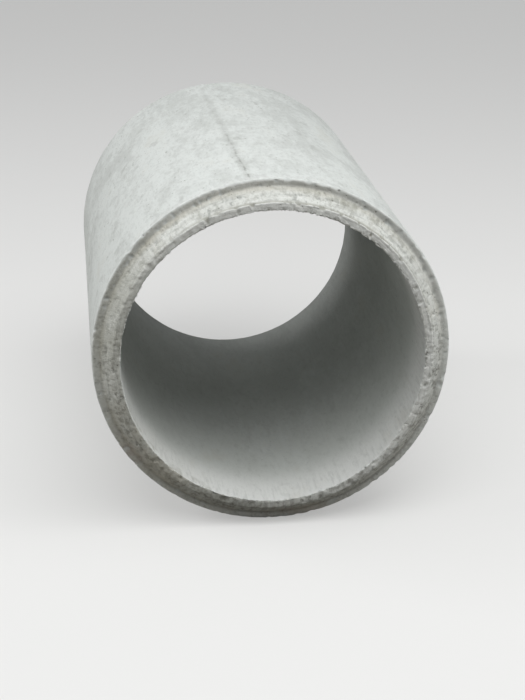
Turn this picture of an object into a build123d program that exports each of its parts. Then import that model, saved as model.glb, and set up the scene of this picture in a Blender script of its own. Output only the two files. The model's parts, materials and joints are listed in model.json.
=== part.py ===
"""Concrete sewer pipe with a rebated joint, cast as one piece.

The pipe lies on its side. Its axis runs along +Y, the spigot end points along -Y,
and the origin is on the floor line, midway along the whole length. Sizes are millimetres.
"""

import os

from build123d import *

# Barrel
BORE_DIAMETER = 600.0
WALL = 55.0
BARREL_LENGTH = 1000.0

# Spigot: the inner part of the wall, tapering out of the barrel's end
SPIGOT_LENGTH = 35.0
SHOULDER_WIDTH = 15.0
NOSE_WIDTH = 15.0

# Socket: the recess at the other end that the next pipe's spigot enters
JOINT_GAP = 4.0
END_GAP = 5.0

# Worn edges: the radius of each rounding, with the inner corners left sharp
BARREL_EDGE = 4.0
NOSE_EDGE = 3.0
MOUTH_EDGE = 4.0
SHARP = 0.0

BORE_RADIUS = BORE_DIAMETER / 2
BARREL_RADIUS = BORE_RADIUS + WALL
PIPE_LENGTH = SPIGOT_LENGTH + BARREL_LENGTH
NOSE = -PIPE_LENGTH / 2
SHOULDER = NOSE + SPIGOT_LENGTH
BARREL_END = PIPE_LENGTH / 2
SPIGOT_ROOT_RADIUS = BARREL_RADIUS - SHOULDER_WIDTH
SPIGOT_NOSE_RADIUS = BORE_RADIUS + NOSE_WIDTH
SPIGOT_SLOPE = (SPIGOT_ROOT_RADIUS - SPIGOT_NOSE_RADIUS) / SPIGOT_LENGTH
SOCKET_DEPTH = SPIGOT_LENGTH + END_GAP
SOCKET_MOUTH_RADIUS = SPIGOT_ROOT_RADIUS + JOINT_GAP
SOCKET_FLOOR_RADIUS = SOCKET_MOUTH_RADIUS - SPIGOT_SLOPE * SOCKET_DEPTH
SOCKET_FLOOR = BARREL_END - SOCKET_DEPTH


def wall_section():
    """Half section of the wall: radius along X, distance along the pipe along Y."""
    corners = [
        ((BORE_RADIUS, NOSE), MOUTH_EDGE),
        ((SPIGOT_NOSE_RADIUS, NOSE), NOSE_EDGE),
        ((SPIGOT_ROOT_RADIUS, SHOULDER), SHARP),
        ((BARREL_RADIUS, SHOULDER), BARREL_EDGE),
        ((BARREL_RADIUS, BARREL_END), BARREL_EDGE),
        ((SOCKET_MOUTH_RADIUS, BARREL_END), SHARP),
        ((SOCKET_FLOOR_RADIUS, SOCKET_FLOOR), SHARP),
        ((BORE_RADIUS, SOCKET_FLOOR), MOUTH_EDGE),
    ]
    points = [point for point, _ in corners]
    radii = [radius for _, radius in corners]
    return make_face(FilletPolyline(*points, radius=radii, close=True))


def pipe():
    """The wall section turned about the pipe's axis, then laid on the floor."""
    turned = revolve(wall_section(), axis=Axis.Y)
    return Pos(0, 0, BARREL_RADIUS) * turned


os.makedirs("parts", exist_ok=True)
export_step(pipe(), "parts/pipe.step")
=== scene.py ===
"""The concrete sewer pipe as it looks: its cast wall with worn and chipped edges, the stones that show
in its face, the crumbs left round its mouth, and a plain stage to see it on.

Lengths are metres. The pipe's axis runs along Y, its spigot end points along -Y and Z is up.
"""

import json
import logging
import math
from collections.abc import Callable
from dataclasses import dataclass, field
from enum import Enum
from typing import Any

import bmesh
import bpy
import numpy as np
from bpy.types import Material, Mesh, Object, World
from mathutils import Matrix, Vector, noise


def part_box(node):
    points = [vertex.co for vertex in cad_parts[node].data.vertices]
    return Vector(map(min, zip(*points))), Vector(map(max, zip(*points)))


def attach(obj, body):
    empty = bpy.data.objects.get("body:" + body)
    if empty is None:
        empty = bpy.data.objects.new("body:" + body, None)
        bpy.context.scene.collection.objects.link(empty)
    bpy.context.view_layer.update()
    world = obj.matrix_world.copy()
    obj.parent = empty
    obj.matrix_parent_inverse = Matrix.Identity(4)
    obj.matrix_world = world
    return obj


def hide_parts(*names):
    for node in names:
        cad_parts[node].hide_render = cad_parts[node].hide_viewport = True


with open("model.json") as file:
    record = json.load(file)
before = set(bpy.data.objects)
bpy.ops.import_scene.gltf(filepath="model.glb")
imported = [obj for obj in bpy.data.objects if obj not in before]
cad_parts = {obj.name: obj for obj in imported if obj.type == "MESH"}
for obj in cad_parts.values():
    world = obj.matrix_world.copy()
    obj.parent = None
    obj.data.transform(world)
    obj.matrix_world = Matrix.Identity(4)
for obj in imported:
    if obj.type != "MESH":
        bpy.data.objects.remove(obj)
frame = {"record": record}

LOG = logging.getLogger("pipe")
MM = 0.001
Triple = tuple[float, float, float]
Inputs = dict[str | int, Any] | None


# Node trees

def operator(operation: str) -> Callable[..., "Value"]:
    """A method of Value that adds one Math node, in place of Python's own arithmetic."""

    def work(value: "Value", *others: Any) -> "Value":
        """The result."""
        return value.graph.math(operation, value, *others)

    return work


class Value:
    """An output of a node tree that Python's own arithmetic works on."""

    __add__ = __radd__ = operator("ADD")
    __sub__ = operator("SUBTRACT")
    __mul__ = operator("MULTIPLY")
    __truediv__ = operator("DIVIDE")
    __mod__ = operator("FLOORED_MODULO")
    __pow__ = operator("POWER")
    __gt__ = operator("GREATER_THAN")
    floor = operator("FLOOR")
    size = operator("ABSOLUTE")

    def __init__(self, graph: "Graph", socket: bpy.types.NodeSocket) -> None:
        """Keeps the socket and the graph that it belongs to."""
        self.graph = graph
        self.socket = socket

    def __rsub__(self, other: float) -> "Value":
        """The difference, with a plain number first."""
        return self.graph.math("SUBTRACT", other, self)

    def ramp(self, low: float, high: float) -> "Value":
        """A smooth step: 0 at low and 1 at high. Low may be the greater.

        Args:
            low: the value that gives 0.
            high: the value that gives 1.

        Returns:
            The step's height, from 0 to 1.
        """
        given = {"Value": self, "From Min": low, "From Max": high}
        return self.graph.get("ShaderNodeMapRange", given, interpolation_type="SMOOTHSTEP")

    def step(self, origin: float, low: float, high: float) -> "Value":
        """A ramp whose low and high lie so many millimetres from a third number."""
        return self.ramp(origin + low * MM, origin + high * MM)

    def fade(self, low: float, high: float) -> "Value":
        """A ramp of a distance, with low and high in millimetres."""
        return self.step(0.0, low, high)


class Graph:
    """Adds nodes to one shader or geometry tree."""

    def __init__(self, tree: bpy.types.NodeTree) -> None:
        """Keeps the tree."""
        self.tree = tree

    def add(self, kind: str, inputs: Inputs = None, **settings: Any) -> bpy.types.Node:
        """Adds one node.

        Args:
            kind: the node's type name.
            inputs: a constant or a Value for each named or numbered input.
            settings: its own properties, set before its sockets.

        Returns:
            The node.
        """
        node = self.tree.nodes.new(kind)
        for name, setting in settings.items():
            setattr(node, name, setting)
        for key, given in (inputs or {}).items():
            if isinstance(given, Value):
                self.tree.links.new(given.socket, node.inputs[key])
            else:
                node.inputs[key].default_value = given
        return node

    def out(self, node: bpy.types.Node, key: str | int = 0) -> Value:
        """One output of a node as a Value."""
        return Value(self, node.outputs[key])

    def get(self, kind: str, inputs: Inputs = None, **settings: Any) -> Value:
        """Adds one node, as add does, and gives its first output."""
        return self.out(self.add(kind, inputs, **settings))

    def math(self, operation: str, *terms: Value | float) -> Value:
        """A Math node on up to three numbers."""
        return self.get("ShaderNodeMath", dict(enumerate(terms)), operation=operation)

    def greatest(self, first: Value, *others: Value) -> Value:
        """The greatest of several values."""
        for other in others:
            first = self.math("MAXIMUM", first, other)
        return first

    def vector(self, across: Any, along: Any, up: Any) -> Value:
        """A vector of three numbers."""
        return self.get("ShaderNodeCombineXYZ", {"X": across, "Y": along, "Z": up})

    def parts(self, vector: Value) -> list[Value]:
        """The three numbers of a vector."""
        node = self.add("ShaderNodeSeparateXYZ", {"Vector": vector})
        return [self.out(node, axis) for axis in "XYZ"]

    def scale(self, vector: Value, share: Value) -> Value:
        """A vector made longer or shorter."""
        return self.get("ShaderNodeVectorMath", {0: vector, "Scale": share}, operation="SCALE")

    def mix(self, share: Value, first: Any, second: Any) -> Value:
        """A mix of two colours, each a Value or a plain colour."""
        opaque = [(*c, 1.0) if isinstance(c, tuple) else c for c in (first, second)]
        given = {"Factor": share, 6: opaque[0], 7: opaque[1]}
        return self.out(self.add("ShaderNodeMix", given, data_type="RGBA"), 2)


def emptied(owner: Material | World) -> Graph:
    """The shader tree of a material or world, switched on and emptied."""
    owner.use_nodes = True
    owner.node_tree.nodes.clear()
    return Graph(owner.node_tree)


# The pipe's shape

class Run(Enum):
    """How closely the section is divided along one of its straight runs."""

    FINE = "fine"
    SPREAD = "spread"


@dataclass(frozen=True)
class Corner:
    """One corner of the wall's section."""

    radius: float
    along: float
    rounding: float
    run_after: Run = Run.FINE


@dataclass
class Sizes:
    """The pipe's sizes: the outer ones and the bore as packed, the details as the part has them."""

    shoulder_width: float = 15 * MM
    spigot_length: float = 35 * MM
    nose_width: float = 15 * MM
    joint_gap: float = 4 * MM
    end_gap: float = 5 * MM
    barrel_edge: float = 4 * MM
    mouth_edge: float = 4 * MM
    nose_edge: float = 3 * MM
    root_cove: float = 5 * MM
    bore: float = field(init=False)
    barrel: float = field(init=False)
    axis_height: float = field(init=False)
    nose: float = field(init=False)
    far_end: float = field(init=False)

    def __post_init__(self) -> None:
        """Reads the outer sizes from the CAD node's box and its bore from the record."""
        low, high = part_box("pipe")
        mounts = {mount["name"]: mount for mount in frame["record"]["mounts"]}
        self.bore = mounts["bore"]["dims"]["r_mm"] * MM
        self.barrel = (high.z - low.z) / 2
        self.axis_height = low.z + self.barrel
        self.nose = low.y
        self.far_end = high.y

    @property
    def shoulder(self) -> float:
        """Where the barrel starts, along the pipe."""
        return self.nose + self.spigot_length

    @property
    def spigot_root(self) -> float:
        """The spigot's outside radius where it meets the shoulder."""
        return self.barrel - self.shoulder_width

    @property
    def spigot_nose(self) -> float:
        """The spigot's outside radius at its nose."""
        return self.bore + self.nose_width

    @property
    def socket_floor(self) -> float:
        """Where the socket's floor lies, along the pipe."""
        return self.far_end - self.spigot_length - self.end_gap

    @property
    def socket_mouth(self) -> float:
        """The socket's radius at its mouth."""
        return self.spigot_root + self.joint_gap

    @property
    def socket_root(self) -> float:
        """The socket's radius at its floor."""
        slope = (self.spigot_root - self.spigot_nose) / self.spigot_length
        return self.socket_mouth - slope * (self.spigot_length + self.end_gap)

    def corners(self) -> list[Corner]:
        """The section's corners in order, from the mouth of the bore round the outside and back."""
        return [
            Corner(self.bore, self.nose, self.mouth_edge),
            Corner(self.spigot_nose, self.nose, self.nose_edge),
            Corner(self.spigot_root, self.shoulder, self.root_cove),
            Corner(self.barrel, self.shoulder, self.barrel_edge, Run.SPREAD),
            Corner(self.barrel, self.far_end, self.barrel_edge),
            Corner(self.socket_mouth, self.far_end, 0.0),
            Corner(self.socket_root, self.socket_floor, 0.0),
            Corner(self.bore, self.socket_floor, self.mouth_edge, Run.SPREAD),
        ]


@dataclass
class Section:
    """The closed outline of the wall, divided into short steps."""

    sizes: Sizes
    fine_step: float = 2.9 * MM
    widest_step: float = 46 * MM
    growth: float = 1.45
    arc_steps: int = 3

    def points(self) -> np.ndarray:
        """The outline's points.

        Returns:
            One row for each point: its radius and its place along the pipe.
        """
        corners = self.sizes.corners()
        places = [np.array((corner.radius, corner.along)) for corner in corners]
        around = zip(places[-1:] + places[:-1], places, places[1:] + places[:1], corners)
        arcs = [self._arc(*three, corner.rounding) for *three, corner in around]
        rows: list[np.ndarray] = []
        for arc, next_arc, corner in zip(arcs, arcs[1:] + arcs[:1], corners):
            rows += arc + self._run(arc[-1], next_arc[0], corner.run_after)
        return np.array(rows)

    def _arc(
        self, before: np.ndarray, at: np.ndarray, after: np.ndarray, rounding: float
    ) -> list[np.ndarray]:
        """The rounding of one corner.

        Args:
            before: the corner before.
            at: the corner itself.
            after: the corner after.
            rounding: the arc's radius, or 0 for a sharp corner.

        Returns:
            The arc's points, or the corner alone.
        """
        if rounding == 0:
            return [at]
        inward = (before - at) / np.linalg.norm(before - at)
        outward = (after - at) / np.linalg.norm(after - at)
        half = math.acos(float(np.clip(inward @ outward, -1, 1))) / 2
        reach = rounding / math.tan(half)
        middle = (inward + outward) / np.linalg.norm(inward + outward)
        centre = at + middle * rounding / math.sin(half)
        first = at + inward * reach - centre
        last = at + outward * reach - centre
        aside = np.array((-first[1], first[0]))
        turn = math.atan2(last @ aside, last @ first)
        angles = [turn * step / self.arc_steps for step in range(self.arc_steps + 1)]
        return [centre + (math.cos(angle) * first + math.sin(angle) * aside) for angle in angles]

    def _run(self, start: np.ndarray, end: np.ndarray, spacing: Run) -> list[np.ndarray]:
        """The points between two ends of a straight run, without the ends.

        Args:
            start: where the run starts.
            end: where it ends.
            spacing: fine all along, or fine at the ends and spread between.

        Returns:
            The points.
        """
        length = float(np.linalg.norm(end - start))
        if spacing is Run.FINE:
            count = max(1, round(length / self.fine_step))
            shares = np.arange(1, count) / count
        else:
            steps = []
            step = self.fine_step
            while step < self.widest_step and sum(steps) + step < length / 2:
                steps.append(step)
                step *= self.growth
            left = length - 2 * sum(steps)
            count = max(1, round(left / self.widest_step))
            every = steps + [left / count] * count + steps[::-1]
            shares = np.cumsum(every)[:-1] / length
        return [start + (end - start) * share for share in shares]


@dataclass(frozen=True)
class Ripple:
    """One layer of unevenness in the cast surface, with about so many cells to the metre."""

    cells: float
    height: float = 1.0
    shift: Triple = (0.0, 0.0, 0.0)

    def at(self, place: Vector) -> float:
        """Its height at one place."""
        return noise.noise(place * self.cells + Vector(self.shift)) * self.height


def height_of(ripples: tuple[Ripple, ...], place: Vector) -> float:
    """The heights of several ripples at one place, added up."""
    return sum(ripple.at(place) for ripple in ripples)


@dataclass(frozen=True)
class ChipRow:
    """Chips knocked off one arris, by chance but always the same ones.

    The shortest and shallowest chips are given as shares of the longest and deepest.
    """

    radius: float
    along: float
    outward: tuple[float, float]
    count: int
    longest: float
    deepest: float
    seed: int
    shortest: float = 0.25
    shallowest: float = 0.3
    depths: tuple[float, float] = (0.7, 1.2)
    tilt: float = 0.35
    slew: float = 0.1


@dataclass
class CastWall:
    """The pipe's one cast wall, turned about its axis and then worn."""

    sizes: Sizes
    turns: int = 800
    skin: float = 0.5 * MM
    face: tuple[Ripple, ...] = (
        Ripple(6.0, 0.6 * MM),
        Ripple(38.0, 0.35 * MM, (7, 3, 1)),
        Ripple(170.0, 0.3 * MM, (2, 9, 4)),
    )
    pit: float = 5.5 * MM
    pits: Ripple = Ripple(105.0)
    pit_threshold: float = 0.26
    pit_crowding: Ripple = Ripple(11.0, 0.14)
    burr: float = 2.8 * MM
    burr_edge: tuple[Ripple, ...] = (Ripple(75.0), Ripple(190.0, 0.8))
    burr_patches: Ripple = Ripple(14.0, 1.1)
    burr_cover: float = 0.6
    burr_stand: float = 0.15
    burr_slope: float = 0.4
    tear: float = 0.8 * MM
    torn_nose: tuple[Ripple, ...] = (Ripple(95.0), Ripple(230.0, 0.7))
    chip_face: tuple[Ripple, ...] = (Ripple(260.0, 0.5 * MM), Ripple(90.0, 1.3 * MM))
    crease: float = math.radians(55)
    seam: float = 1e-6

    def build(self, finish: Material) -> Object:
        """Makes the wall's mesh and puts it in place of the CAD node.

        Args:
            finish: the concrete.

        Returns:
            The finished piece.
        """
        piece = self._turned()
        self._wear(piece.data)
        self._close(piece.data)
        piece.data.materials.clear()
        piece.data.materials.append(finish)
        join_pipe(piece)
        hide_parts("pipe")
        return piece

    def _turned(self) -> Object:
        """The section turned about the axis by Geometry Nodes, as a plain mesh."""
        rows = Section(self.sizes).points()
        outline = bpy.data.meshes.new("wall_section")
        outline.from_pydata([(radius, along, 0) for radius, along in rows], [], [])
        piece = added("cast_wall", outline)
        inputs = {"Turns": self.turns, "Axis Height": self.sizes.axis_height}
        builder = NodeBuilder("turn_section", inputs)
        graph = builder.graph
        count = len(rows)
        turns = builder["Turns"]
        cells = {"Vertices X": turns + 1, "Vertices Y": count + 1}
        grid = graph.get("GeometryNodeMeshGrid", cells)
        index = graph.get("GeometryNodeInputIndex")
        column = (index / (count + 1)).floor()
        row = (index - column * (count + 1)) % count
        place = graph.get("GeometryNodeInputPosition")
        given = {"Geometry": builder["Geometry"], "Value": place, "Index": row}
        sample = graph.get("GeometryNodeSampleIndex", given, data_type="FLOAT_VECTOR")
        radius, along, _ = graph.parts(sample)
        turned = builder.round_axis(radius, column / turns * math.tau, along)
        placed = graph.get("GeometryNodeSetPosition", {"Geometry": grid, "Position": turned})
        given = {"Geometry": placed, "Distance": self.seam}
        builder.finish(graph.get("GeometryNodeMergeByDistance", given))
        return builder.apply(piece)

    def _wear(self, mesh: Mesh) -> None:
        """Moves the wall's points to the uneven, chipped shape of the real casting.

        Args:
            mesh: the turned wall, changed in place.
        """
        rebuild_normals(mesh)
        places = read_rows(mesh.vertices, "co")
        normals = read_rows(mesh.vertices, "normal")
        lift = np.array([height_of(self.face, Vector(place)) for place in places])
        worn = places + normals * (lift - self.skin)[:, None]
        self._pit(places, normals, worn)
        self._feather(places, worn)
        for chips in self._chip_rows():
            self._chip(places, worn, chips)
        mesh.vertices.foreach_set("co", worn.ravel())
        keep_in_box(mesh)

    def _radius(self, places: np.ndarray) -> np.ndarray:
        """Each point's distance from the pipe's axis."""
        return np.hypot(places[:, 0], places[:, 2] - self.sizes.axis_height)

    def _pit(self, places: np.ndarray, normals: np.ndarray, worn: np.ndarray) -> None:
        """Sinks small pits where grains have fallen out of the spigot's faces.

        Args:
            places: each point's place before wear.
            normals: the way out of the wall at each point.
            worn: each point's worn place, changed in place.
        """
        last, least = self.sizes.shoulder + 0.5 * MM, self.sizes.bore + 1 * MM
        front = (places[:, 1] < last) & (self._radius(places) > least)
        for index in np.nonzero(front)[0]:
            place = Vector(places[index])
            threshold = self.pit_threshold - self.pit_crowding.at(place)
            worn[index] -= normals[index] * max(0.0, self.pits.at(place) - threshold) * self.pit

    def _feather(self, places: np.ndarray, worn: np.ndarray) -> None:
        """Leaves a thin ragged burr of cement round the mouth of the bore, and an uneven nose.

        Args:
            places: each point's place before wear.
            worn: each point's worn place, changed in place.
        """
        sizes = self.sizes
        reach = sizes.mouth_edge + 0.1 * MM
        radius = self._radius(places)
        ahead = np.array((0.0, -self.burr_slope, 0.0))
        for index in np.nonzero(places[:, 1] < sizes.nose + reach)[0]:
            place = Vector(places[index])
            if radius[index] < sizes.bore + reach:
                inward = -np.array((place.x, 0.0, place.z - sizes.axis_height)) / radius[index]
                cover = max(0.0, self.burr_cover + self.burr_patches.at(place))
                push = (self.burr_stand + height_of(self.burr_edge, place)) * cover * self.burr
                worn[index] += (inward + ahead) * push
            else:
                worn[index, 1] += max(0.0, height_of(self.torn_nose, place)) * self.tear

    def _chip_rows(self) -> list[ChipRow]:
        """The rows of chips, one for each arris that gets knocked."""
        sizes = self.sizes
        return [
            ChipRow(sizes.barrel, sizes.shoulder, (0.75, -0.66), 80, 30 * MM, 4.4 * MM, 3),
            ChipRow(sizes.spigot_nose, sizes.nose, (0.45, -0.89), 90, 22 * MM, 3.2 * MM, 5),
            ChipRow(sizes.bore, sizes.nose, (-0.6, -0.8), 80, 24 * MM, 3.2 * MM, 8),
            ChipRow(sizes.barrel, sizes.far_end, (0.75, 0.66), 80, 32 * MM, 4.8 * MM, 13),
            ChipRow(sizes.socket_mouth, sizes.far_end, (-0.7, 0.71), 80, 24 * MM, 4.0 * MM, 21),
        ]

    def _chip(self, places: np.ndarray, worn: np.ndarray, chips: ChipRow) -> None:
        """Cuts one row of chips.

        Args:
            places: each point's place before wear.
            worn: each point's worn place, changed in place.
            chips: the row to cut.
        """
        chance = np.random.default_rng(chips.seed)
        for angle in chance.uniform(0, math.tau, chips.count):
            size = chips.shortest + (1 - chips.shortest) * chance.random() ** 2
            half_length = chips.longest * size / 2
            depth = chips.deepest * (chips.shallowest + (1 - chips.shallowest) * size)
            depth *= chance.uniform(*chips.depths)
            round_way = np.array((math.cos(angle), 0.0, math.sin(angle)))
            along_arris = np.array((-math.sin(angle), 0.0, math.cos(angle)))
            centre = round_way * chips.radius
            centre += np.array((0.0, chips.along, self.sizes.axis_height))
            tilt = chance.uniform(-chips.tilt, chips.tilt)
            facing = round_way * (chips.outward[0] + tilt) + np.array((0.0, chips.outward[1], 0.0))
            facing += along_arris * chance.uniform(-chips.slew, chips.slew)
            facing /= np.linalg.norm(facing)
            offset = places - centre
            reach = half_length + 2 * chips.deepest
            for index in np.nonzero(np.linalg.norm(offset, axis=1) < reach)[0]:
                share = float(offset[index] @ along_arris) / half_length
                if abs(share) >= 1:
                    continue
                limit = share**4 * self.burr - depth * (1 - share * share) - self.skin
                limit += height_of(self.chip_face, Vector(places[index]))
                height = float((worn[index] - centre) @ facing)
                if height > limit:
                    worn[index] += facing * (limit - height)

    def _close(self, mesh: Mesh) -> None:
        """Smooths the faces, keeps the creases and turns every face outwards."""
        rebuild_normals(mesh)
        mesh.polygons.foreach_set("use_smooth", [True] * len(mesh.polygons))
        mesh.set_sharp_from_angle(angle=self.crease)


def added(name: str, data: bpy.types.ID | None) -> Object:
    """A new object of the scene, at the origin."""
    made = bpy.data.objects.new(name, data)
    bpy.context.scene.collection.objects.link(made)
    return made


def join_pipe(piece: Object) -> None:
    """Lets a piece ride with the pipe's one body."""
    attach(piece, "root")


def read_rows(points: Any, name: str) -> np.ndarray:
    """Three numbers of each point of a mesh, such as its place, one row for each point."""
    rows = np.zeros(len(points) * 3)
    points.foreach_get(name, rows)
    return rows.reshape(-1, 3)


def keep_in_box(mesh: Mesh) -> None:
    """Presses every point that stands out of the pipe's packed box back to the box."""
    low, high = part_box("pipe")
    kept = np.clip(read_rows(mesh.vertices, "co"), np.array(low), np.array(high))
    mesh.vertices.foreach_set("co", kept.ravel())
    mesh.update()


def rebuild_normals(mesh: Mesh) -> None:
    """Turns every face of a closed mesh outwards."""
    work = bmesh.new()
    work.from_mesh(mesh)
    bmesh.ops.recalc_face_normals(work, faces=work.faces)
    work.to_mesh(mesh)
    work.free()
    mesh.update()


class NodeBuilder:
    """One Geometry Nodes tree with named inputs, and the steps that turn its result into a mesh."""

    SOCKETS = {int: "Int", float: "Float", Material: "Material"}

    def __init__(self, name: str, inputs: dict[str, Any]) -> None:
        """Makes the tree and its inputs.

        Args:
            name: the tree's name.
            inputs: a value for each named input.
        """
        self.tree = bpy.data.node_groups.new(name, "GeometryNodeTree")
        self._socket("Geometry", "Geometry")
        self._socket("Geometry", "Geometry", "OUTPUT")
        self.given: dict[str, Any] = {}
        for label, given in inputs.items():
            kind = next(kind for known, kind in self.SOCKETS.items() if isinstance(given, known))
            self.given[self._socket(label, kind)] = given
        self.graph = Graph(self.tree)
        self.source = self.graph.add("NodeGroupInput")

    def _socket(self, label: str, kind: str, way: str = "INPUT") -> str:
        """Adds one input or output to the tree and gives its identifier."""
        kind = f"NodeSocket{kind}"
        return self.tree.interface.new_socket(label, in_out=way, socket_type=kind).identifier

    def __getitem__(self, label: str) -> Value:
        """One named input."""
        return self.graph.out(self.source, label)

    def round_axis(self, radius: Value, angle: Value, along: Value) -> Value:
        """A place round the pipe's axis, at the height of the input named Axis Height."""
        graph = self.graph
        up = radius * graph.math("SINE", angle) + self["Axis Height"]
        return graph.vector(radius * graph.math("COSINE", angle), along, up)

    def chance(self, low: Any, high: Any, draw: int) -> Value:
        """A random number or vector for each point, from the input named Seed.

        Args:
            low: the least number, or the vector of the three least.
            high: the greatest, likewise.
            draw: which of the tree's draws it is, so that no two are alike.

        Returns:
            The number or vector.
        """
        is_vector = isinstance(low, tuple)
        kind, first, result = ("FLOAT_VECTOR", 0, 0) if is_vector else ("FLOAT", 2, 1)
        given = {first: low, first + 1: high, "Seed": self["Seed"] + draw}
        node = self.graph.add("FunctionNodeRandomValue", given, data_type=kind)
        return self.graph.out(node, result)

    def between(self, draw: int, power: float) -> Value:
        """A random size between Smallest and Largest, the more often small the higher the power."""
        smallest = self["Smallest"]
        return smallest + (self["Largest"] - smallest) * self.chance(0.0, 1.0, draw) ** power

    def strew(self, points: Value, turned: Value, scale: Value, chosen: Any = True) -> Value:
        """Puts a small ball, turned and scaled, on each of the chosen points, as instances."""
        ball = self.graph.get("GeometryNodeMeshIcoSphere", {"Radius": 1.0, "Subdivisions": 1})
        given = {"Points": points, "Selection": chosen, "Instance": ball}
        given |= {"Rotation": turned, "Scale": scale}
        return self.graph.get("GeometryNodeInstanceOnPoints", given)

    def finish(self, result: Value, finish: Value | None = None) -> None:
        """Ends the tree in Realize Instances and, with a finish, Set Material.

        Args:
            result: the geometry to give out.
            finish: the material input, if the tree sets one.
        """
        real = self.graph.get("GeometryNodeRealizeInstances", {0: result})
        if finish is not None:
            given = {"Geometry": real, "Material": finish}
            real = self.graph.get("GeometryNodeSetMaterial", given)
        self.graph.add("NodeGroupOutput", {"Geometry": real})

    def apply(self, piece: Object) -> Object:
        """Runs the tree on an object and keeps the result as its plain mesh.

        Args:
            piece: the object whose mesh goes in.

        Returns:
            The same object, with no modifier.
        """
        modifier = piece.modifiers.new(self.tree.name, "NODES")
        modifier.node_group = self.tree
        for identifier, given in self.given.items():
            modifier[identifier] = given
        graph = bpy.context.evaluated_depsgraph_get()
        mesh = bpy.data.meshes.new_from_object(piece.evaluated_get(graph), depsgraph=graph)
        piece.modifiers.remove(modifier)
        piece.data = mesh
        mesh.name = piece.name
        return piece


@dataclass
class ShownStones:
    """Small stones and sand grains that stand a little out of the cast face."""

    sizes: Sizes
    per_square_metre: float = 1900.0
    smallest: float = 0.6 * MM
    largest: float = 2.0 * MM
    least_stretch: float = 0.7
    most_stretch: float = 1.3
    sunk_share: float = 0.62
    seed: int = 17

    def build(self, wall: Object, finish: Material) -> Object:
        """Scatters the stones over the outside and the ends of the wall.

        Args:
            wall: the finished wall.
            finish: the concrete.

        Returns:
            The finished piece.
        """
        piece = added("shown_stones", wall.data.copy())
        inputs = {"Density": self.per_square_metre, "Smallest": self.smallest}
        inputs |= {"Largest": self.largest, "Seed": self.seed, "Finish": finish}
        builder = NodeBuilder("scatter_stones", inputs)
        graph = builder.graph
        across, _, up = graph.parts(graph.get("GeometryNodeInputPosition"))
        height = up - self.sizes.axis_height
        radius = (across * across + height * height) ** 0.5
        outside = radius > self.sizes.bore + self.sizes.mouth_edge
        given = {"Mesh": builder["Geometry"], "Density": builder["Density"] * outside}
        given["Seed"] = builder["Seed"]
        points = graph.add("GeometryNodeDistributePointsOnFaces", given, distribute_method="RANDOM")
        stone = builder.between(0, 3)
        stretch = builder.chance((self.least_stretch,) * 3, (self.most_stretch,) * 3, 1)
        turned = builder.chance((0.0,) * 3, (math.tau,) * 3, 2)
        placed = builder.strew(graph.out(points), turned, graph.scale(stretch, stone))
        sunk = graph.scale(graph.out(points, "Normal"), stone * -self.sunk_share)
        given = {"Instances": placed, "Translation": sunk, "Local Space": False}
        moved = graph.get("GeometryNodeTranslateInstances", given)
        builder.finish(moved, builder["Finish"])
        builder.apply(piece)
        keep_in_box(piece.data)
        join_pipe(piece)
        return piece


@dataclass
class MouthCrumbs:
    """Crumbs of cement that stick to the rounded mouth of the bore where its form was drawn out."""

    sizes: Sizes
    count: int = 1100
    smallest: float = 0.8 * MM
    largest: float = 3.2 * MM
    least_slope: float = 0.05
    lean: float = 0.5
    flat: float = 0.55
    broad: float = 0.7
    shortest: float = 0.7
    longest: float = 1.9
    cluster_cells: float = 21.0
    cluster_threshold: float = 0.47
    seed: int = 29

    def build(self, finish: Material) -> Object:
        """Sticks the crumbs on in clusters.

        Args:
            finish: the concrete.

        Returns:
            The finished piece.
        """
        piece = added("mouth_crumbs", bpy.data.meshes.new("mouth_crumbs"))
        sizes = self.sizes
        inputs = {"Count": self.count, "Bore Radius": sizes.bore, "Rounding": sizes.mouth_edge}
        inputs |= {"Nose": sizes.nose, "Axis Height": sizes.axis_height, "Smallest": self.smallest}
        inputs |= {"Largest": self.largest, "Seed": self.seed, "Finish": finish}
        builder = NodeBuilder("stick_crumbs", inputs)
        graph = builder.graph
        angle = builder.chance(0.0, math.tau, 0)
        slope = builder.chance(self.least_slope, math.pi / 2, 1)
        rounding = builder["Rounding"]
        radius = builder["Bore Radius"] + rounding - rounding * graph.math("COSINE", slope)
        along = builder["Nose"] + rounding - rounding * graph.math("SINE", slope)
        place = builder.round_axis(radius, angle, along)
        points = graph.get("GeometryNodePoints", {"Count": builder["Count"], "Position": place})
        given = {"Vector": place, "Scale": self.cluster_cells, "Detail": 3.0}
        crowded = graph.get("ShaderNodeTexNoise", given) > self.cluster_threshold
        size = builder.between(2, 2)
        leans = [builder.chance(-self.lean, self.lean, draw) for draw in (3, 4)]
        turned = graph.vector(leans[0], angle * -1.0, leans[1])
        length = size * builder.chance(self.shortest, self.longest, 5)
        scale = graph.vector(size * self.flat, size * self.broad, length)
        placed = builder.strew(points, turned, scale, crowded)
        builder.finish(placed, builder["Finish"])
        builder.apply(piece)
        keep_in_box(piece.data)
        join_pipe(piece)
        return piece


# Finishes

@dataclass(frozen=True)
class Spot:
    """A soft round spot of weathering: its centre, so far past the nose, and its reach."""

    across: float
    past_nose: float
    up: float
    reach: float


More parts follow.
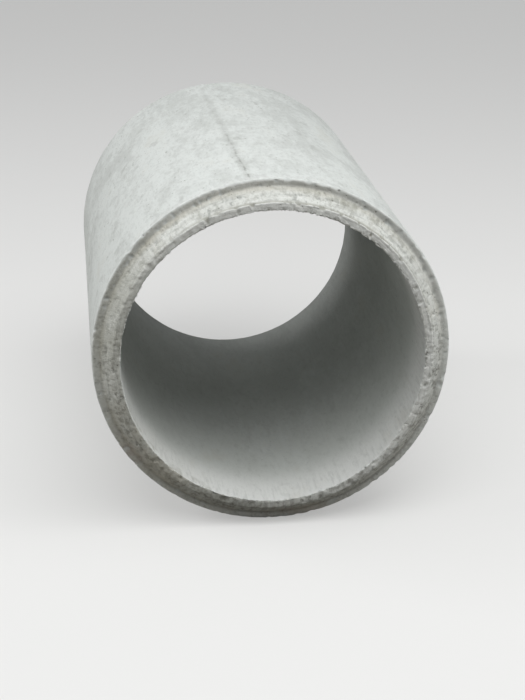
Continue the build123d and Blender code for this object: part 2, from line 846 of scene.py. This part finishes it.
class Surface:
    """Where a point lies on the pipe, by its Object coordinates, and the noise at that point.

    The noise comes in layers: blotches of about 8 cm, mottle of 16 mm, speckle of 7 mm and grains
    of 2 mm. Its drags are strokes along the pipe, as the form leaves, and its circles are arcs on
    the end faces.
    """

    def __init__(self, graph: Graph, sizes: Sizes) -> None:
        """Adds the nodes that tell the pipe's surfaces apart, and those of the noise."""
        self.graph = graph
        self.sizes = sizes
        self.point = graph.out(graph.add("ShaderNodeTexCoord"), "Object")
        self.across, self.along, self.up = graph.parts(self.point)
        self.height = self.up - sizes.axis_height
        self.drawn = graph.vector(self.across, self.along * 0.4, self.up)
        self.radius = (self.across * self.across + self.height * self.height) ** 0.5
        self.turn = graph.math("ARCTAN2", self.height, self.across)
        self.inside = self.radius.step(sizes.bore, 1.5, 0.5)
        self.not_inside = 1.0 - self.inside
        self.outside = self.radius.step(sizes.barrel, -5, -2.5)
        self.front = self.along.step(sizes.shoulder, 2, -1) * self.not_inside
        self.nose = self.along.step(sizes.nose, 3, 1.6) * self.not_inside
        self.cone = self.radius.step(sizes.spigot_root, 3, -5)
        self.shoulder = self.front * (1.0 - self.cone)
        self.blotches = self.noise(13.0, 6.0, 0.6)
        self.mottle = self.noise(62.0, 5.0, 0.62)
        self.speckle = self.noise(150.0, 3.0, 0.6)
        self.grains = self.noise(420.0, 3.0, 0.6)
        self.specks = self.noise(78.0, 2.0, 0.5).ramp(0.43, 0.30)
        self.uneven = self.blotches * 0.6 + self.mottle * 0.4
        self.patchy = self.uneven.ramp(0.38, 0.60)
        right, up = self.across / self.radius, self.height / self.radius
        self.drags = self.noise(52.0, 2.0, 0.5, graph.vector(right, self.along * 0.32, up))
        mouth = self.inside * self.along.step(sizes.nose, 150, 0)
        self.scraped = mouth * (0.25 + self.mottle.ramp(0.42, 0.58) * 0.75)
        arcs = graph.vector(self.radius, self.across * 0.1, self.height * 0.1)
        self.circles = self.noise(230.0, 3.0, 0.6, arcs)
        fine, middling = self.holes(190.0, 0.30, 0.30), self.holes(70.0, 0.20, 0.22)
        pores = graph.greatest(fine, middling, self.holes(23.0, 0.16, 0.09, 0.6))
        self.pores = pores * (1.0 - self.inside * 0.75)
        self.hairline = self._hairline()

    def noise(self, scale: float, detail: float, rough: float, at: Value | None = None) -> Value:
        """Cloudy noise around 0.5, drawn out along the pipe.

        Args:
            scale: cells to the metre.
            detail: how many finer layers it has.
            rough: how strong the finer layers are.
            at: where it is read, if not at the point squeezed lengthwise.

        Returns:
            The noise.
        """
        place = at or self.drawn
        given = {"Vector": place, "Scale": scale, "Detail": detail, "Roughness": rough}
        return self.graph.get("ShaderNodeTexNoise", given)

    def from_circle(self, radius: float, along: float) -> Value:
        """The distance from a circle round the axis."""
        out = self.radius - radius
        ahead = self.along - along
        return (out * out + ahead * ahead) ** 0.5

    def spot(self, where: Spot) -> Value:
        """A soft round spot: 1 at its centre and 0 from its reach on."""
        centre = (where.across, self.sizes.nose + where.past_nose, where.up)
        node = self.graph.add("ShaderNodeVectorMath", {0: self.point, 1: centre}, operation="DISTANCE")
        return self.graph.out(node, "Value").ramp(where.reach, where.reach * 0.25)

    def holes(self, scale: float, share: float, widest: float, soft: float = 0.45) -> Value:
        """Round holes or spots, in some of the cells of a cell pattern.

        Args:
            scale: cells to the metre.
            share: the share of cells with a hole.
            widest: the largest hole's radius, in cells.
            soft: where each hole reaches its full depth, as a share of its radius.

        Returns:
            The holes' mask.
        """
        graph = self.graph
        cells = graph.add("ShaderNodeTexVoronoi", {"Vector": self.point, "Scale": scale})
        chance = graph.add("ShaderNodeSeparateColor", {"Color": graph.out(cells, "Color")})
        has_hole = graph.out(chance).ramp(1.0 - share, 1.0)
        mask = (graph.out(cells, "Distance") / (has_hole * widest + 0.001)).ramp(1.0, soft)
        return mask * has_hole.ramp(0.02, 0.3)

    def _hairline(self) -> Value:
        """The one long fine crack, a little left of the barrel's top, strongest near the spigot."""
        start = self.sizes.shoulder
        lengthwise = self.graph.vector(self.along, 0.0, 0.0)
        wander = (self.noise(9.0, 6.0, 0.66, lengthwise) - 0.5) * math.radians(3.4)
        path = math.radians(98.3) + self.along * math.radians(3.2)
        gap = ((self.turn - path - wander) * self.sizes.barrel).size()
        broken = self.noise(30.0, 4.0, 0.6, lengthwise).ramp(0.40, 0.56)
        strength = self.along.ramp(150 * MM, start + 90 * MM) * 0.85 + 0.15
        line = gap.fade(3, 0.6) * (0.15 + broken * 0.40) * strength
        dust = gap.fade(14, 1) * (0.4 + broken * 0.6) * (0.26 + strength * 0.30)
        dust = dust * self.along.fade(450, 300)
        return (line + dust) * self.along.step(start, 5, 40) * self.outside


class Coat:
    """A colour that is built up layer by layer."""

    def __init__(self, under: Value) -> None:
        """Starts with the colour that lies under the others."""
        self.colour = under

    def lay(self, share: Value, colour: Triple) -> None:
        """Lays a plain colour over what is there, in a share from 0 to 1."""
        self.colour = share.graph.mix(share, self.colour, colour)


@dataclass(frozen=True)
class Concrete:
    """Dry cast concrete, pale grey and softly mottled, with dirt and painted light and shade."""

    pale: Triple = (0.61, 0.635, 0.615)
    middle: Triple = (0.51, 0.53, 0.51)
    dark: Triple = (0.31, 0.32, 0.30)
    bore: Triple = (0.52, 0.54, 0.51)
    cream: Triple = (0.68, 0.68, 0.63)
    # Pale wear, also laid as painted light in the mouth of the bore, on the nose and shoulder, and on
    # top of the spigot end's arris.
    worn: Triple = (0.73, 0.74, 0.72)
    warm: Triple = (0.46, 0.44, 0.37)
    # Dark dirt, also laid as painted shade in the spigot's root, on the shoulder inside the arris and
    # low on the ring.
    grime_and_shade: Triple = (0.13, 0.125, 0.105)
    # Dark grey laid as painted shade with dirt low on the ring, and as painted shade alone in the
    # socket's inner corner.
    dirt_and_shade: Triple = (0.27, 0.275, 0.245)
    dingy: Triple = (0.31, 0.31, 0.265)
    earth: Triple = (0.33, 0.27, 0.21)
    stain: Triple = (0.25, 0.18, 0.15)
    dusty: Spot = Spot(0.17, 20 * MM, 0.65, 0.24)
    swept: Spot = Spot(-0.17, 35 * MM, 0.655, 0.17)
    soiled: Spot = Spot(-0.27, 0.0, 0.14, 0.22)
    rusty: Spot = Spot(-0.325, 20 * MM, 0.13, 0.10)
    roughness: float = 0.93
    specular: float = 0.3

    def material(self, sizes: Sizes) -> Material:
        """Builds the material.

        Args:
            sizes: the pipe's sizes, by which its surfaces are told apart.

        Returns:
            The material.
        """
        finish = bpy.data.materials.new("dry_cast_concrete")
        graph = emptied(finish)
        here = Surface(graph, sizes)
        coat = self._plain(here)
        weather = (self._soil_face, self._soil_root, self._soil_nose, self._wear_edges, self._stain)
        for layers in weather:
            layers(here, coat)
        coat.lay(here.hairline * 0.5, self.grime_and_shade)
        given = {"Strength": 1.0, "Distance": 1.0, "Height": self._relief(here)}
        bump = graph.get("ShaderNodeBump", given)
        given = {"Base Color": coat.colour, "Roughness": self.roughness, "Normal": bump}
        given["Specular IOR Level"] = self.specular
        shader = graph.get("ShaderNodeBsdfPrincipled", given)
        graph.add("ShaderNodeOutputMaterial", {"Surface": shader})
        return finish

    def _plain(self, here: Surface) -> Coat:
        """The concrete before weather: tones, grain, pores, drags and painted light in the bore's
        mouth.
        """
        front, inside, drags = here.front, here.inside, here.drags
        tone = here.noise(2.6, 4.0, 0.55) * 0.26 + here.blotches * 0.40
        tone = tone + here.mottle * 0.24 + here.speckle * 0.10
        coat = Coat(here.graph.mix(tone.ramp(0.42, 0.56), self.middle, self.pale))
        coat.lay(inside * 0.6, self.bore)
        # Painted light: the bore paler within 5 cm of its mouth, fading out by 18 cm.
        coat.lay(inside * here.along.step(here.sizes.nose, 180, 50) * 0.85, self.worn)
        coat.lay(front * 0.45, self.cream)
        coat.lay(here.mottle.ramp(0.50, 0.36) * front * 0.35, self.dingy)
        coat.lay(here.specks * (0.14 + front * 0.56), self.dark)
        coat.lay(here.circles.ramp(0.48, 0.34) * front * 0.42, self.dark)
        coat.lay(here.circles.ramp(0.54, 0.66) * front * 0.5, self.worn)
        rough = 0.36 + front * 0.44 - inside * 0.16
        coat.lay(here.speckle.ramp(0.50, 0.34) * rough * 0.36, self.dark)
        coat.lay(here.grains.ramp(0.48, 0.30) * rough * 0.28, self.dark)
        coat.lay(here.grains.ramp(0.55, 0.72) * rough * 0.3, self.worn)
        coat.lay(here.blotches.ramp(0.58, 0.72) * 0.2, self.warm)
        smudges = here.noise(30.0, 3.0, 0.5).ramp(0.38, 0.29)
        coat.lay(smudges * here.not_inside * 0.3, self.dark)
        coat.lay(here.pores * 0.6, self.grime_and_shade)
        coat.lay(here.scraped * drags.ramp(0.54, 0.30) * 0.30, self.dark)
        coat.lay(here.scraped * drags.ramp(0.50, 0.70) * 0.3, self.worn)
        return coat

    def _soil_face(self, here: Surface, coat: Coat) -> None:
        """Painted light and shade, with clean and soiled concrete: nose, foot of the ring and
        shoulder.
        """
        across, up, cone = here.across, here.up, here.cone
        # Painted light with cleaner concrete: the nose paler to the right and at the upper left.
        upper_left = across.ramp(0.05, -0.1) * up.ramp(0.42, 0.55)
        coat.lay(here.nose * (across.ramp(-0.28, 0.1) * 0.5 + upper_left * 0.24), self.worn)
        # Painted shade with dirt: the front darker towards the bottom, most on the cone.
        low = up.ramp(0.30, 0.02) * here.front * across.ramp(0.45, 0.0)
        coat.lay(low * (cone * (0.5 - here.nose * 0.12) + here.mottle * 0.2), self.dirt_and_shade)
        coat.lay(low * cone * here.drags.ramp(0.54, 0.36) * 0.35, self.grime_and_shade)
        # Painted light: the shoulder paler to the right and towards the bottom, less at the upper
        # right.
        bright = here.shoulder * across.ramp(-0.22, 0.05) * (0.25 + up.ramp(0.5, 0.1) * 0.5)
        coat.lay(bright * (1.0 - across.ramp(0.26, 0.34) * up.ramp(0.5, 0.4) * 0.65), self.worn)

    def _soil_root(self, here: Surface, coat: Coat) -> None:
        """Dust and dirt at the spigot's root and on the shoulder, with painted shade in those corners.
        """
        sizes, across, up = here.sizes, here.across, here.up
        root = here.from_circle(sizes.spigot_root, sizes.shoulder)
        # Painted shade with dust: a warm darkening round the root's corner, more to the left.
        wide = root.fade(19, 3) * here.front * (0.15 + here.uneven.ramp(0.36, 0.62) * 0.5)
        coat.lay(wide * (0.35 + across.ramp(0.30, -0.05) * 0.65), self.warm)
        dusty = here.spot(self.dusty) * root.fade(30, 8) * here.cone
        coat.lay(dusty * (0.15 + here.mottle.ramp(0.56, 0.42) * 0.5) * here.front, self.dingy)
        # Painted shade with dirt: a dark line in the root's corner, stronger towards the bottom.
        coat.lay(root.fade(6, 1.5) * (0.10 + up.ramp(0.35, 0.05) * 0.38), self.grime_and_shade)
        # Painted shade with dirt: a dark band on the shoulder just inside the arris, stronger towards
        # the top.
        below_arris = (here.radius - (sizes.barrel - 9 * MM)).size().fade(8, 1)
        at_shoulder = (here.along - sizes.shoulder).size().fade(5, 2)
        swept = 1.0 - here.spot(self.swept) * 0.6
        line = below_arris * at_shoulder * (0.35 + here.patchy * 0.65) * swept
        coat.lay(line * (0.1 + up.ramp(0.30, 0.6) * 0.36), self.grime_and_shade)
        sooty = here.shoulder * across.ramp(-0.04, -0.2) * up.ramp(0.30, 0.42)
        sooty = sooty * (1.0 - up.ramp(0.55, 0.68) * 0.5) * swept
        soot = (here.speckle * 0.6 + here.mottle * 0.4).ramp(0.54, 0.42)
        coat.lay(sooty * soot * 0.48, self.grime_and_shade)

    def _soil_nose(self, here: Surface, coat: Coat) -> None:
        """Dirt on the nose's outer edge, its dull upper rim, and painted shade with dirt at the lower
        left.
        """
        edge, across, up = here.sizes.spigot_nose, here.across, here.up
        wobble = (here.mottle - 0.5) * (9 * MM)
        nose_line = (here.radius + wobble - (edge - 3 * MM)).size().fade(2.4, 0.5)
        coat.lay(nose_line * here.nose * here.uneven.ramp(0.46, 0.60) * 0.3, self.grime_and_shade)
        rim = here.radius.step(edge, 5, 1) * here.front
        rim = rim * up.ramp(0.35, 0.55) * across.ramp(-0.22, -0.12) * (0.4 + here.patchy * 0.4)
        coat.lay(rim * (1.0 - here.nose), self.dingy)
        # Painted shade with dirt: the front darker at the lower left, most on the nose.
        dull = here.front * across.ramp(0.05, -0.12) * up.ramp(0.32, 0.16)
        coat.lay(dull * (0.16 + here.nose * 0.50), self.dirt_and_shade)
        coat.lay(dull * (0.04 + here.nose * 0.12), self.grime_and_shade)

    def _wear_edges(self, here: Surface, coat: Coat) -> None:
        """The rubbed arrises of the barrel with a painted highlight on top, and painted shade in the
        socket.
        """
        sizes = here.sizes
        # Wear with a painted highlight: the spigot end's arris paler on top, less to the right.
        near = here.from_circle(sizes.barrel, sizes.shoulder).fade(7, 2.5) * here.up.ramp(0.15, 0.5)
        near = near * (0.35 + here.across.ramp(0.28, 0.05) * 0.65)
        far = here.from_circle(sizes.barrel, sizes.far_end).fade(7, 2.5)
        coat.lay(here.graph.greatest(near, far) * (0.3 + here.patchy * 0.5) * 0.6, self.worn)
        # Painted shade: the socket's inner corner darker all round.
        socket_corner_shade = here.from_circle(sizes.socket_root, sizes.socket_floor).fade(22, 2)
        coat.lay(socket_corner_shade * (0.3 + here.patchy * 0.6) * 0.7, self.dirt_and_shade)

    def _stain(self, here: Surface, coat: Coat) -> None:
        """The soiled and rusty left, the patchy lower half and the earth along the ground."""
        front, mottle, up = here.front, here.mottle, here.up
        left = here.across.ramp(-0.20, -0.31) * front * (0.35 + here.uneven.ramp(0.35, 0.6) * 0.5)
        coat.lay(left * 0.75, self.dingy)
        soiled = here.spot(self.soiled) * (front + 0.25)
        coat.lay(soiled * here.blotches.ramp(0.3, 0.6) * 0.45, self.warm)
        coat.lay(here.spot(self.rusty) * mottle.ramp(0.42, 0.6) * 0.5, self.stain)
        patches = mottle * 0.6 + here.speckle * 0.4
        lower = front * up.ramp(0.5, 0.3)
        coat.lay(lower * patches.ramp(0.51, 0.61) * 0.18, self.worn)
        coat.lay(lower * patches.ramp(0.49, 0.40) * 0.44, self.grime_and_shade)
        ground = up.ramp(0.05, 0.0) * here.not_inside * here.blotches.ramp(0.35, 0.6)
        coat.lay(ground * 0.5, self.earth)

    def _relief(self, here: Surface) -> Value:
        """The height of the fine unevenness that the bump shows, in metres."""
        fine = (here.mottle - 0.5) * (1.1 * MM) + (here.speckle - 0.5) * (0.9 * MM)
        fine = fine + (here.grains - 0.5) * (0.8 * MM)
        relief = fine * (0.22 + here.front * 0.78) - here.pores * (1.8 * MM)
        relief = relief - here.specks * here.front * (0.6 * MM)
        relief = relief + (here.drags - 0.5) * (0.7 * MM) * (here.scraped + here.front)
        relief = relief + (here.blotches - 0.5) * (1.5 * MM)
        return relief + (here.circles - 0.5) * (1.1 * MM) * here.front - here.hairline * (0.5 * MM)


def shows_background(graph: Graph) -> Value:
    """1 for a ray that shows the background: from the camera, off a gloss or through a clear thing."""
    path = graph.add("ShaderNodeLightPath")
    kinds = ("Camera", "Glossy", "Transmission")
    return graph.greatest(*[graph.out(path, f"Is {kind} Ray") for kind in kinds])


@dataclass(frozen=True)
class StageFloor:
    """The plain pale floor: evenly pale where it is seen, and darker in the light it throws back."""

    colour: Triple = (0.79, 0.79, 0.78)
    bounce: Triple = (0.24, 0.23, 0.21)
    even_share: float = 0.48
    roughness: float = 0.9
    specular: float = 0.1

    def material(self) -> Material:
        """Builds the material."""
        finish = bpy.data.materials.new("stage_floor")
        graph = emptied(finish)
        seen = shows_background(graph)
        given = {
            "Base Color": graph.mix(seen, self.bounce, self.colour),
            "Roughness": self.roughness,
            "Specular IOR Level": self.specular,
        }
        lit = graph.get("ShaderNodeBsdfPrincipled", given)
        given = {"Color": (*self.colour, 1.0), "Strength": 1.0}
        even = graph.get("ShaderNodeEmission", given)
        given = {"Fac": seen * self.even_share, 1: lit, 2: even}
        shader = graph.get("ShaderNodeMixShader", given)
        graph.add("ShaderNodeOutputMaterial", {"Surface": shader})
        return finish


# The stage

def aim_at(looker: Object, place: Triple, aim: Triple) -> None:
    """Puts a lamp or a camera at its place and turns it to the point it is aimed at."""
    looker.location = place
    sight = Vector(aim) - Vector(place)
    looker.rotation_euler = sight.to_track_quat("-Z", "Y").to_euler()


@dataclass(frozen=True)
class SoftLamp:
    """One large lamp, which lights the pipe from one side."""

    name: str
    place: Triple
    aim: Triple
    size: tuple[float, float]
    power: float

    def hang(self) -> None:
        """Adds the lamp to the scene, turned to what it lights."""
        data = bpy.data.lights.new(self.name, "AREA")
        data.shape = "RECTANGLE"
        data.size, data.size_y = self.size
        data.energy = self.power
        aim_at(added(self.name, data), self.place, self.aim)


@dataclass
class Stage:
    """Floor, light and camera."""

    camera_place: Triple = (-0.375, -3.559, 1.466)
    aim: Triple = (-0.01, -0.40, 0.335)
    lens: float = 86.0
    sight_end: float = 200.0
    floor_reach: float = 30.0
    sky: Triple = (0.97, 0.985, 1.0)
    sky_strength: float = 0.27
    lamps: tuple[SoftLamp, ...] = (
        SoftLamp("overhead", (0.45, -1.75, 3.8), (0.0, -0.9, 0.3), (5.2, 2.6), 145.0),
        SoftLamp("left_side", (-4.4, 0.7, 2.5), (-0.2, 0.0, 0.4), (3.0, 3.0), 112.0),
        SoftLamp("right_side", (4.3, -0.7, 1.9), (0.2, -0.3, 0.3), (3.0, 2.4), 42.0),
    )

    def build(self) -> None:
        """Makes the floor, the lamps, the sky and the camera."""
        self._floor()
        self._sky()
        for lamp in self.lamps:
            lamp.hang()
        self._camera()

    def _floor(self) -> None:
        """A wide flat floor at the height the pipe rests on."""
        reach = self.floor_reach
        mesh = bpy.data.meshes.new("floor")
        corners = [(-reach, -reach, 0), (reach, -reach, 0), (reach, reach, 0), (-reach, reach, 0)]
        mesh.from_pydata(corners, [], [(0, 1, 2, 3)])
        mesh.materials.append(StageFloor().material())
        added("floor", mesh)

    def _sky(self) -> None:
        """An even sky: near white where it is seen, and of the given strength as light."""
        world = bpy.data.worlds.new("even_sky")
        bpy.context.scene.world = world
        graph = emptied(world)
        strength = self.sky_strength + shows_background(graph) * (1.0 - self.sky_strength)
        given = {"Color": (*self.sky, 1.0), "Strength": strength}
        sky = graph.get("ShaderNodeBackground", given)
        graph.add("ShaderNodeOutputWorld", {"Surface": sky})

    def _camera(self) -> None:
        """The camera where the photograph was taken from, turned to the pipe, with a longer lens."""
        data = bpy.data.cameras.new("camera")
        data.lens = self.lens
        data.clip_end = self.sight_end
        camera = added("camera", data)
        aim_at(camera, self.camera_place, self.aim)
        bpy.context.scene.camera = camera


def main() -> None:
    """Builds the pipe and its stage."""
    logging.basicConfig(level=logging.INFO, format="%(name)s: %(message)s")
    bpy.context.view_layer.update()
    scene = bpy.context.scene
    scene.view_settings.view_transform = "Standard"
    sizes = Sizes()
    concrete = Concrete().material(sizes)
    wall = CastWall(sizes).build(concrete)
    stones = ShownStones(sizes).build(wall, concrete)
    crumbs = MouthCrumbs(sizes).build(concrete)
    for piece in (wall, stones, crumbs):
        LOG.info("%s: %d faces", piece.name, len(piece.data.polygons))
    Stage().build()


if __name__ == "__main__":
    main()
